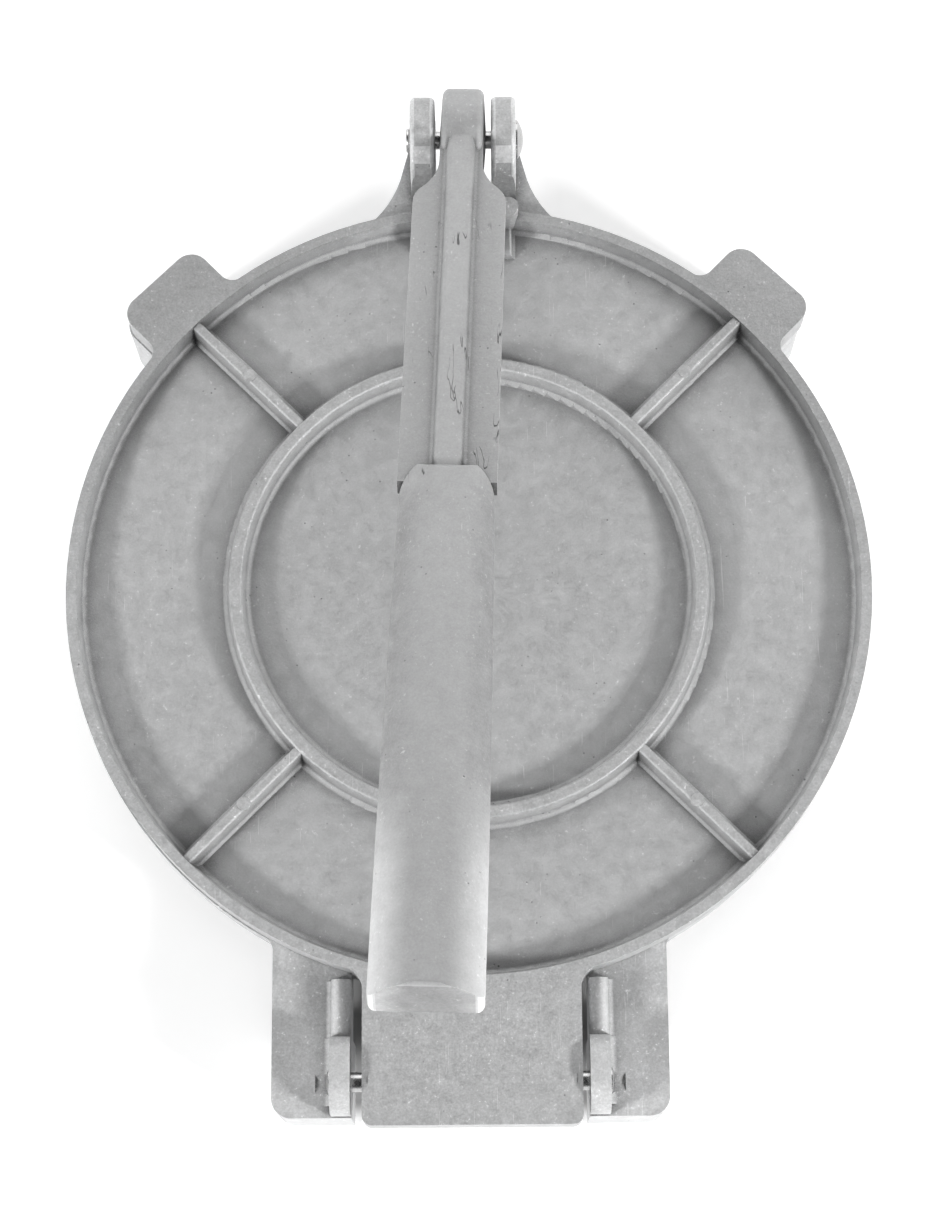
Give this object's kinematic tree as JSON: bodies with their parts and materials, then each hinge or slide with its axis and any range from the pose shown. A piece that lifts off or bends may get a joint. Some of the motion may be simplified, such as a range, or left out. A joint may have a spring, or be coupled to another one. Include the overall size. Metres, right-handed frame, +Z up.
{
  "type": "tortilla press",
  "caption": "Cast aluminium tortilla press: round ribbed plates hinged at the back, pressed together by a long lever with a cam.",
  "frame": {"origin": "under the centre of the round plates, on the plane the four legs stand on", "axes": "+Z up, +Y from the plates' hinge towards the lever's fork, +X across, to the right when the fork is away from the viewer"},
  "size_m": [0.2075, 0.2728, 0.1335],
  "materials": {
    "cast_aluminium": "satin, as cast",
    "pin_steel": "satin"
  },
  "bodies": {
    "base": {"base_plate": "cast_aluminium", "hinge_pin": "pin_steel", "lever_pin": "pin_steel"},
    "upper": {"upper_plate": "cast_aluminium"},
    "lever": {"lever": "cast_aluminium"}
  },
  "joints": [
    {"name": "lever_pivot", "type": "hinge", "parent": "base", "child": "lever", "pos_m": [0, 0.1218, 0.0341], "axis": [-1, 0, 0], "range_deg": [0, 162]},
    {"name": "plate_hinge", "type": "hinge", "parent": "base", "child": "upper", "pos_m": [0, -0.1264, 0.0261], "axis": [1, 0, 0], "range_deg": [0, 9.8]}
  ],
  "couplings": [
    {"joint": "plate_hinge", "follows": "lever_pivot", "ratio": 0.06}
  ]
}
